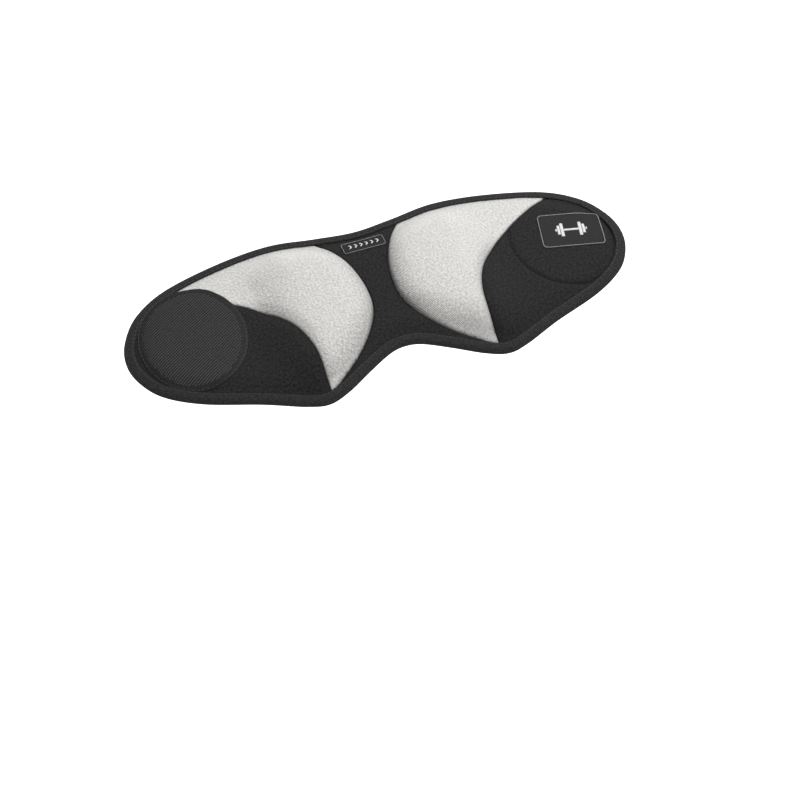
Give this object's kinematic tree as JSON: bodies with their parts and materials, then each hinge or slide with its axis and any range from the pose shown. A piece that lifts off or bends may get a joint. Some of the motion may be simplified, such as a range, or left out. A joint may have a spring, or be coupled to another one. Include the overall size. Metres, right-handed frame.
{
  "type": "ankle cuff weight",
  "caption": "Wrap-around ankle weight: a flat padded cuff with sand-filled lobes, a hook tab and a loop tab that overlap to close it.",
  "frame": {"origin": "middle of the cuff's outline on its skin side, laid out flat", "axes": "+X along the cuff towards the badge tab, +Y across it towards its upper (straighter) edge, +Z out of the outer face"},
  "size_m": [0.38, 0.154, 0.0213],
  "materials": {
    "silver_knit": "matte silver-grey warp knit",
    "black_jersey": "matte black jersey",
    "binding_tape": "matte ribbed tape",
    "lining_jersey": "matte brushed jersey",
    "neoprene_foam": "matte foam rubber",
    "hook_tape": "matte hook tape",
    "loop_tape": "matte pile",
    "pouch_nylon": "plain woven nylon",
    "iron_sand": "loose grains",
    "label_weave": "satin weave",
    "white_thread": "embroidery thread"
  },
  "bodies": {
    "back": {"back_lining": "lining_jersey", "back_foam": "neoprene_foam", "back_upper_binding": "binding_tape", "back_lower_binding": "binding_tape", "neck_cover": "black_jersey", "neck_label": "label_weave"},
    "left_inner_wing": {"left_inner_wing_lining": "lining_jersey", "left_inner_wing_foam": "neoprene_foam", "left_inner_wing_upper_binding": "binding_tape", "left_inner_wing_lower_binding": "binding_tape", "left_upper_neck_cover": "black_jersey", "left_lower_neck_cover": "black_jersey", "left_inner_grey_panel": "silver_knit", "left_inner_pouch_back": "pouch_nylon", "left_inner_sand_fill": "iron_sand", "left_inner_pouch_front": "pouch_nylon"},
    "left_outer_wing": {"left_outer_wing_lining": "lining_jersey", "left_outer_wing_foam": "neoprene_foam", "left_outer_wing_upper_binding": "binding_tape", "left_outer_wing_lower_binding": "binding_tape", "left_outer_grey_panel": "silver_knit", "left_outer_black_panel": "black_jersey", "left_outer_pouch_back": "pouch_nylon", "left_outer_sand_fill": "iron_sand", "left_outer_pouch_front": "pouch_nylon"},
    "left_tab": {"left_tab_lining": "lining_jersey", "left_tab_foam": "neoprene_foam", "left_tab_binding": "binding_tape", "left_grey_tip": "silver_knit", "left_tab_cover": "black_jersey", "hook_patch": "hook_tape"},
    "right_inner_wing": {"right_inner_wing_lining": "lining_jersey", "right_inner_wing_foam": "neoprene_foam", "right_inner_wing_upper_binding": "binding_tape", "right_inner_wing_lower_binding": "binding_tape", "right_upper_neck_cover": "black_jersey", "right_lower_neck_cover": "black_jersey", "right_inner_grey_panel": "silver_knit", "right_inner_pouch_back": "pouch_nylon", "right_inner_sand_fill": "iron_sand", "right_inner_pouch_front": "pouch_nylon"},
    "right_outer_wing": {"right_outer_wing_lining": "lining_jersey", "right_outer_wing_foam": "neoprene_foam", "right_outer_wing_upper_binding": "binding_tape", "right_outer_wing_lower_binding": "binding_tape", "right_outer_grey_panel": "silver_knit", "right_outer_black_panel": "black_jersey", "right_outer_pouch_back": "pouch_nylon", "right_outer_sand_fill": "iron_sand", "right_outer_pouch_front": "pouch_nylon"},
    "right_tab": {"right_tab_lining": "lining_jersey", "right_tab_foam": "neoprene_foam", "right_tab_binding": "binding_tape", "right_grey_tip": "silver_knit", "right_tab_cover": "black_jersey", "loop_patch": "loop_tape", "badge_label": "label_weave", "badge_emblem": "white_thread"}
  },
  "joints": [
    {"name": "left_wrap", "type": "hinge", "parent": "back", "child": "left_inner_wing", "pos_m": [-0.016, 0, 0], "axis": [0, -1, 0], "range_deg": [0, 28]},
    {"name": "left_lobe_bend", "type": "hinge", "parent": "left_inner_wing", "child": "left_outer_wing", "pos_m": [-0.057, 0, 0], "axis": [0, -1, 0], "range_deg": [0, 69.1]},
    {"name": "left_flap", "type": "hinge", "parent": "left_outer_wing", "child": "left_tab", "pos_m": [-0.098, 0, 0], "axis": [0, -1, 0], "range_deg": [0, 83]},
    {"name": "right_wrap", "type": "hinge", "parent": "back", "child": "right_inner_wing", "pos_m": [0.016, 0, 0], "axis": [0, 1, 0], "range_deg": [0, 44.2]},
    {"name": "right_lobe_bend", "type": "hinge", "parent": "right_inner_wing", "child": "right_outer_wing", "pos_m": [0.057, 0, 0], "axis": [0, 1, 0], "range_deg": [0, 40.9]},
    {"name": "right_flap", "type": "hinge", "parent": "right_outer_wing", "child": "right_tab", "pos_m": [0.098, 0, 0], "axis": [0, 1, 0], "range_deg": [0, 95]}
  ],
  "couplings": [
    {"joint": "left_lobe_bend", "follows": "left_wrap", "ratio": 2.4643},
    {"joint": "right_lobe_bend", "follows": "right_wrap", "ratio": 0.9231}
  ]
}
